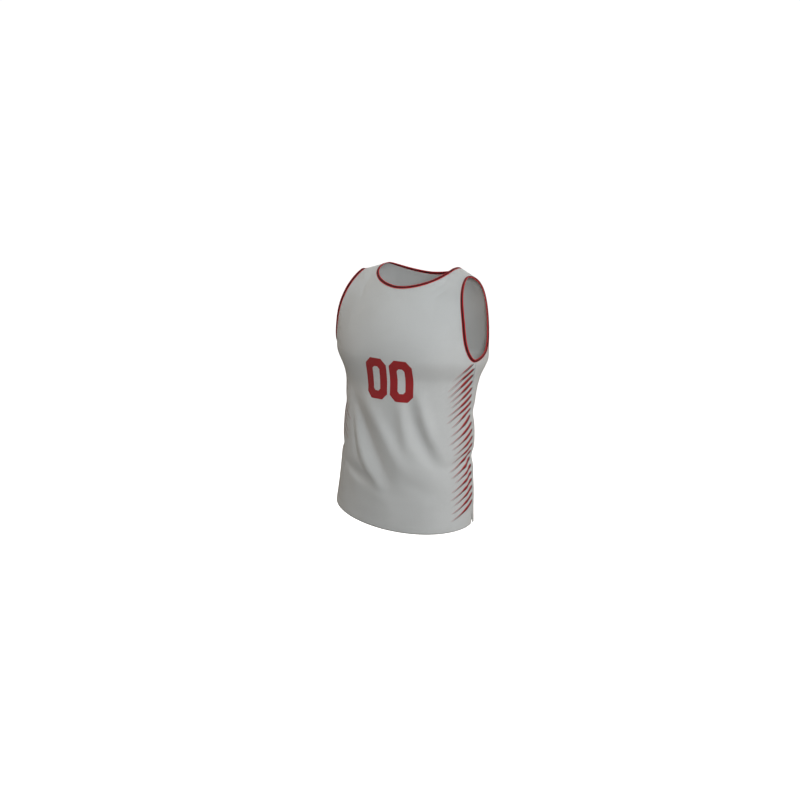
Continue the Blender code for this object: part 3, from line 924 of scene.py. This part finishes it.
def make_stitches(name, lines, material):
    """Rows of short rounded stitches, all as one piece."""
    angles = np.arange(THREAD_SIDES)[:, None] * 2 * math.pi / THREAD_SIDES
    rings = []
    for line in lines:
        for middle, direction, normal in zip(*stitch_path(*line)):
            circle = np.cos(angles) * np.cross(normal, direction) + np.sin(angles) * normal
            for along, size in STITCH_RINGS:
                rings.append(middle + direction * along * STITCH_HALF + circle * THREAD_RADIUS * size)
    one = stitch_faces()
    starts = range(0, len(rings) * THREAD_SIDES, len(STITCH_RINGS) * THREAD_SIDES)
    faces = [[start + corner for corner in face] for start in starts for face in one]
    return finish_piece(make_object(name, np.vstack(rings), faces, [material]))


def panel_line(side, across, up):
    """A line on the outer face of a panel, with its normals."""
    across, up = np.broadcast_arrays(np.asarray(across, dtype=float), np.asarray(up, dtype=float))
    return panel_points(side, across, up, CLOTH / 2), surface_normal(side, across, up)


def hem_lines():
    """Two rows on each panel, along the edge of the turned-up cloth and below it."""
    across = np.linspace(-HEM_ROW_END, HEM_ROW_END, HEM_ROW_STEPS)
    return [
        panel_line(side, across, (HEM_WIDTH - gap) / SIDE_LENGTH)
        for side in (FRONT, BACK)
        for gap in (0.0, HEM_ROW_GAP)
    ]


def strap_across(inset, count):
    """Evenly spaced `across` of the back's left strap, from near its outer edge to near its inner one."""
    x = np.linspace(SHOULDER_TIP_X - inset, NECK_POINT_X + inset, count)
    return across_at(BACK, yoke_angle(BACK, x))


def seam_lines():
    """One row beside each side seam and each shoulder seam, on the back panel."""
    up = np.linspace(SLIT_TOP, SEAM_TOP, SEAM_ROW_STEPS)
    beside = 1 - SEAM_ROW_AWAY / FLAT_WIDTH
    strap = strap_across(SHOULDER_ROW_INSET, SHOULDER_ROW_STEPS)
    sides = [panel_line(BACK, hand * beside, up) for hand in (1, -1)]
    return sides + [panel_line(BACK, hand * strap, SHOULDER_ROW_UP) for hand in (1, -1)]


def edge_line(loop):
    """A closed row on the cloth, beside a binding."""
    points, normals = loop
    beside = points - towards_opening(points, normals) * EDGE_ROW_AWAY + normals * CLOTH / 2
    return np.vstack((beside, beside[:1])), np.vstack((normals, normals[:1]))


def bartack_lines():
    """A short dense bar across the top of each slit."""
    lines = []
    for hand in (1, -1):
        across = np.array([hand * BARTACK_ACROSS])
        normals = np.array(((hand, 0.0, 0.0), (hand, 0.0, 0.0)))
        for row in range(BARTACK_ROWS):
            up = np.array([SLIT_TOP + BARTACK_START + row * BARTACK_PITCH])
            ends = [panel_points(side, across, up, CLOTH / 2 + BARTACK_LIFT) for side in (FRONT, BACK)]
            lines.append((np.vstack(ends), normals))
    return lines


def make_strip(name, rows, uv, thickness, material):
    """A strip of cloth through rows of points."""
    strip = make_object(name, np.vstack(rows), grid_faces(len(rows), len(rows[0])), [material], uv)
    thicken(strip, thickness)
    return finish_piece(strip)


def make_tape(name, points, inward, width, material):
    """A flat strip of folded cloth behind a seam."""
    rows = [points + BACKWARD * width * share + inward for share in TAPE_SHARES]
    uv = [(share * width, length) for share in TAPE_SHARES for length in run_along(points)]
    return make_strip(name, rows, uv, CLOTH, material)


def make_side_tape(name, hand, material):
    up = np.linspace(SLIT_TOP, SEAM_TOP, SIDE_TAPE_STEPS)
    across = np.full(len(up), float(hand))
    middle = (panel_points(FRONT, across, up) + panel_points(BACK, across, up)) / 2
    inward = surface_normal(FRONT, across, up) * -SIDE_TAPE_DEPTH
    return make_tape(name, middle, inward, SIDE_TAPE_WIDTH, material)


def make_shoulder_tape(name, hand, material):
    across = hand * strap_across(SHOULDER_TAPE_INSET, SHOULDER_TAPE_STEPS)
    points = panel_points(BACK, across, np.full(len(across), 2.0))
    inward = np.array((0.0, 0.0, -SHOULDER_TAPE_DEPTH))
    return make_tape(name, points, inward, SHOULDER_TAPE_WIDTH, material)


def make_hem_fold(name, side, material):
    """The turned-up cloth inside the hem, from round its lower edge to the stitching."""
    across = np.linspace(-HEM_FOLD_END, HEM_FOLD_END, HEM_FOLD_STEPS)
    profile = [(CLOTH * math.cos(angle) - CLOTH, -CLOTH * math.sin(angle)) for angle in HEM_TURN_ANGLES]
    profile += [(-2 * CLOTH, level) for level in HEM_FOLD_LEVELS]
    rows = []
    for out, level in profile:
        at = panel_points(side, across, np.full(len(across), max(level, 0.0) / SIDE_LENGTH), out)
        rows.append(at + np.array((0.0, 0.0, min(level, 0.0))))
    reach = reach_on_cloth(side, across, np.zeros(len(across)))
    uv = [(length, out + level) for out, level in profile for length in reach]
    return make_strip(name, rows, uv, HEM_FOLD_THICKNESS, material)


# -------- materials

class Nodes:
    """A short way to write a material's nodes."""

    def __init__(self, name):
        self.material = bpy.data.materials.new(name)
        self.material.use_nodes = True
        self.tree = self.material.node_tree

    def set(self, node, socket, value):
        if isinstance(value, bpy.types.NodeSocket):
            self.tree.links.new(value, node.inputs[socket])
        else:
            node.inputs[socket].default_value = value

    def add(self, kind, inputs, output=0, **settings):
        node = self.tree.nodes.new(kind)
        for key, value in settings.items():
            setattr(node, key, value)
        for socket, value in inputs.items():
            self.set(node, socket, value)
        return node.outputs[output]

    def math(self, operation, a, b=0.0):
        return self.add("ShaderNodeMath", {0: a, 1: b}, operation=operation)

    def vector(self, operation, a, b=(0.0, 0.0, 0.0), output=0):
        return self.add("ShaderNodeVectorMath", {0: a, 1: b}, output=output, operation=operation)

    def smooth(self, value, low, high, start=0.0, end=1.0):
        inputs = {"Value": value, "From Min": low, "From Max": high, "To Min": start, "To Max": end}
        return self.add("ShaderNodeMapRange", inputs, interpolation_type="SMOOTHSTEP")

    def noise(self, scale, detail):
        place = self.tree.nodes.new("ShaderNodeTexCoord").outputs["Object"]
        return self.add("ShaderNodeTexNoise", {"Vector": place, "Scale": scale, "Detail": detail})

    def place(self):
        """Where a point lies on the cloth, in metres: both values together, and each."""
        uv = self.add("ShaderNodeUVMap", {}, uv_map="cloth")
        parts = self.tree.nodes.new("ShaderNodeSeparateXYZ")
        self.set(parts, 0, uv)
        return uv, parts.outputs[0], parts.outputs[1]

    def wave(self, place, pitch):
        """A wave between -1 and 1 along one direction of the cloth."""
        return self.math("SINE", self.math("MULTIPLY", place, 2 * math.pi / pitch))

    def tinted(self, colour, value):
        """A colour made darker or lighter by a value."""
        base = self.tree.nodes.new("ShaderNodeRGB").outputs[0]
        base.default_value = (*colour, 1.0)
        return self.add("ShaderNodeVectorMath", {0: base, 3: value}, operation="SCALE")

    def bump(self, height, distance, strength, under=None):
        inputs = {"Height": height, "Distance": distance, "Strength": strength}
        if under is not None:
            inputs["Normal"] = under
        return self.add("ShaderNodeBump", inputs)

    def shade(self, sockets):
        """Give the shader these values, and return the material."""
        for socket, value in sockets.items():
            self.set(self.tree.nodes["Principled BSDF"], socket, value)
        return self.material


def knit_holes(nodes, uv):
    """1 in the small staggered holes of the mesh knit, 0 on the yarn between them."""
    cells = nodes.vector("DIVIDE", uv, (MESH_PITCH, MESH_PITCH * MESH_FLATNESS, 1.0))
    distances = []
    for shift in ((0.0, 0.0, 0.0), (0.5, 0.5, 0.0)):
        cell = nodes.vector("FRACTION", nodes.vector("ADD", cells, shift))
        distances.append(nodes.vector("DISTANCE", cell, (0.5, 0.5, 0.0), output=1))
    return nodes.smooth(nodes.math("MINIMUM", *distances), *HOLE_EDGE, 1.0, 0.0)


def knit_material(name, colour, sheen, roughness, hole_shade):
    """Micro-mesh polyester knit in one colour: soft patches, fine yarn, upright wales and small holes, with
    painted shade darkening the holes and the grooves between the wales.
    """
    nodes = Nodes(name)
    uv, across, up = nodes.place()
    holes = knit_holes(nodes, uv)
    courses = nodes.math("MULTIPLY", nodes.wave(up, COURSE_PITCH), 0.5)
    both = nodes.math("ADD", nodes.wave(across, WALE_PITCH), courses)
    wales = nodes.math("ADD", nodes.math("MULTIPLY", both, 0.33), 0.5)
    patches = nodes.noise(9.0, 4.0)
    tone_and_painted_shade = nodes.math(
        "MULTIPLY",
        nodes.smooth(patches, *NOISE_SPAN, 0.965, 1.03),
        nodes.smooth(nodes.noise(420.0, 2.0), *NOISE_SPAN, 0.955, 1.035),
    )
    # Painted shade: a little darker in the grooves between the wales and courses, lighter on their crests;
    # the two noises above are the yarn's own uneven tone
    tone_and_painted_shade = nodes.math("MULTIPLY", tone_and_painted_shade, nodes.smooth(wales, 0.0, 1.0, 0.95, 1.02))
    # Painted shade: the small holes are coloured darker, as shade falls into them
    painted_hole_shade = nodes.math("SUBTRACT", 1.0, nodes.math("MULTIPLY", holes, 1.0 - hole_shade))
    uneven = nodes.bump(patches, 0.0015, 0.25)
    ribbed = nodes.bump(wales, 0.00010, 0.8, uneven)
    return nodes.shade({
        "Base Color": nodes.tinted(colour, nodes.math("MULTIPLY", tone_and_painted_shade, painted_hole_shade)),
        "Roughness": nodes.smooth(nodes.noise(60.0, 3.0), 0.25, 0.75, roughness - 0.06, roughness + 0.06),
        "Normal": nodes.bump(nodes.math("SUBTRACT", 1.0, holes), 0.00022, 0.9, ribbed),
        "Sheen Weight": sheen,
        "Sheen Roughness": 0.45,
        "Specular IOR Level": 0.28,
    })


def rib_material(name, colour):
    """Rib knit: fine ridges straight across the band, with painted shade darker in the grooves between
    them.
    """
    nodes = Nodes(name)
    _, along, across = nodes.place()
    ribs = nodes.math("ADD", nodes.math("MULTIPLY", nodes.wave(along, RIB_PITCH), 0.5), 0.5)
    height = nodes.math("ADD", ribs, nodes.math("MULTIPLY", nodes.wave(across, LOOP_PITCH), 0.18))
    fibre = nodes.smooth(nodes.noise(500.0, 2.0), *NOISE_SPAN, 0.93, 1.06)
    # Painted shade: darker in the grooves between the ribs, lighter on their crests; the fibre noise is the
    # yarn's own uneven tone
    tone_and_painted_shade = nodes.math("MULTIPLY", nodes.smooth(ribs, 0.0, 1.0, 0.72, 1.08), fibre)
    return nodes.shade({
        "Base Color": nodes.tinted(colour, tone_and_painted_shade),
        "Roughness": nodes.smooth(ribs, 0.0, 1.0, 0.86, 0.72),
        "Normal": nodes.bump(height, 0.00022, 0.9),
        "Sheen Weight": 0.04,
        "Sheen Roughness": 0.5,
        "Specular IOR Level": 0.18,
    })


def thread_material(name, colour):
    """Twisted sewing thread."""
    nodes = Nodes(name)
    twist = nodes.noise(2600.0, 1.0)
    return nodes.shade({
        "Base Color": nodes.tinted(colour, nodes.smooth(twist, *NOISE_SPAN, 0.88, 1.05)),
        "Roughness": nodes.smooth(twist, *NOISE_SPAN, 0.60, 0.48),
        "Normal": nodes.bump(twist, 0.00008, 0.8),
        "Sheen Weight": 0.10,
    })


# -------- floor, light and camera

def make_floor():
    nodes = Nodes("pale_floor")
    material = nodes.shade({
        "Base Color": (FLOOR_SHADE, FLOOR_SHADE, FLOOR_SHADE, 1.0),
        "Roughness": 0.9,
        "Emission Color": WHITE,
        "Emission Strength": 1.0,
    })
    corners = [(x * FLOOR_HALF, y * FLOOR_HALF, FLOOR_Z) for x, y in ((-1, -1), (1, -1), (1, 1), (-1, 1))]
    floor = make_object("floor", corners, [(0, 1, 2, 3)], [material])
    floor.visible_diffuse = False
    floor.visible_glossy = False


def make_world():
    """A white room: full white to look at, dimmer as light."""
    world = bpy.data.worlds.new("white_room")
    world.use_nodes = True
    tree = world.node_tree
    light = tree.nodes["Background"]
    light.inputs["Color"].default_value = WORLD_COLOUR
    light.inputs["Strength"].default_value = WORLD_STRENGTH
    seen = tree.nodes.new("ShaderNodeBackground")
    seen.inputs["Color"].default_value = WHITE
    seen.inputs["Strength"].default_value = BACKDROP_STRENGTH
    path = tree.nodes.new("ShaderNodeLightPath")
    mix = tree.nodes.new("ShaderNodeMixShader")
    tree.links.new(path.outputs["Is Camera Ray"], mix.inputs[0])
    tree.links.new(light.outputs[0], mix.inputs[1])
    tree.links.new(seen.outputs[0], mix.inputs[2])
    tree.links.new(mix.outputs[0], tree.nodes["World Output"].inputs["Surface"])
    bpy.context.scene.world = world


def place_facing(name, data, azimuth, elevation, distance):
    """An object in a direction from the jersey, turned to face it."""
    azimuth, elevation = math.radians(azimuth), math.radians(elevation)
    flat = math.cos(elevation)
    back = Vector((math.sin(azimuth) * flat, -math.cos(azimuth) * flat, math.sin(elevation)))
    thing = bpy.data.objects.new(name, data)
    bpy.context.scene.collection.objects.link(thing)
    thing.location = CAMERA_TARGET + back * distance
    thing.rotation_euler = (-back).to_track_quat("-Z", "Y").to_euler()
    return thing


def make_light(name, azimuth, elevation, width, power, colour):
    """A soft round light that looks at the jersey."""
    data = bpy.data.lights.new(name, "AREA")
    data.shape = "DISK"
    data.size = width
    data.energy = power
    data.color = colour
    place_facing(name, data, azimuth, elevation, LIGHT_DISTANCE)


def make_camera():
    data = bpy.data.cameras.new("camera")
    data.sensor_width = CAMERA_SENSOR
    data.lens = CAMERA_LENS
    data.clip_start, data.clip_end = CAMERA_CLIP
    bpy.context.scene.camera = place_facing(
        "camera", data, CAMERA_AZIMUTH, CAMERA_ELEVATION, CAMERA_DISTANCE
    )


# -------- putting it together

def cut_size(side):
    """Width, length and area of a panel's flat cut, along the cloth."""
    flat, faces = flat_cut(flat_outline(side), (), CUT_STEP)
    across, up = (flat / FLAT_SCALE).T
    x = reach_on_cloth(side, across, up)
    y = height_on_cloth(side, across, up)
    corners = np.stack((x, y), axis=-1)[faces]
    area = np.abs(np.linalg.det(corners[:, 1:] - corners[:, :1])).sum() / 2
    return float(np.ptp(x)), float(np.ptp(y)), float(area)


def declare_panel(side):
    width, length, area = cut_size(side)


def make_bindings():
    """The three striped bands; returns the rows of stitching beside them."""
    rib = [rib_material(*RED_RIB), rib_material(*BLACK_RIB)]
    neck, left, right = neck_loop(), armhole_loop(1), armhole_loop(-1)
    make_binding("neck_rib", neck, False, rib, "neck_binding")
    make_binding("armhole_rib_left", left, True, rib, "armhole_binding_left")
    make_binding("armhole_rib_right", right, True, rib, "armhole_binding_right")
    return [edge_line(loop) for loop in (neck, left, right)]


def set_up_view():
    make_floor()
    make_world()
    for light in LIGHTS:
        make_light(*light)
    make_camera()
    bpy.context.scene.view_settings.view_transform = "Standard"
    bpy.context.view_layer.update()


def main():
    knit = knit_material(*KNIT)
    inks = [knit_material(*ink) for ink in (RED_INK, LIT_SLASH_INK, BLACK_INK)]
    thread = thread_material(*THREAD)

    front, prints = make_front(knit, *inks)
    back = make_panel("back_cloth", BACK, *flat_cut(flat_outline(BACK), (), LATTICE_STEP), knit, "back")
    make_stitches("edge_stitching", make_bindings(), thread)
    make_stitches("hem_stitching", hem_lines(), thread)
    make_stitches("seam_stitching", seam_lines() + bartack_lines(), thread)
    front_fold = make_hem_fold("hem_fold_front", FRONT, knit)
    back_fold = make_hem_fold("hem_fold_back", BACK, knit)
    make_side_tape("side_seam_tape_left", 1, knit)
    make_side_tape("side_seam_tape_right", -1, knit)
    make_shoulder_tape("shoulder_seam_tape_left", 1, knit)
    make_shoulder_tape("shoulder_seam_tape_right", -1, knit)

    declare_panel(FRONT)
    declare_panel(BACK)

    set_up_view()


main()
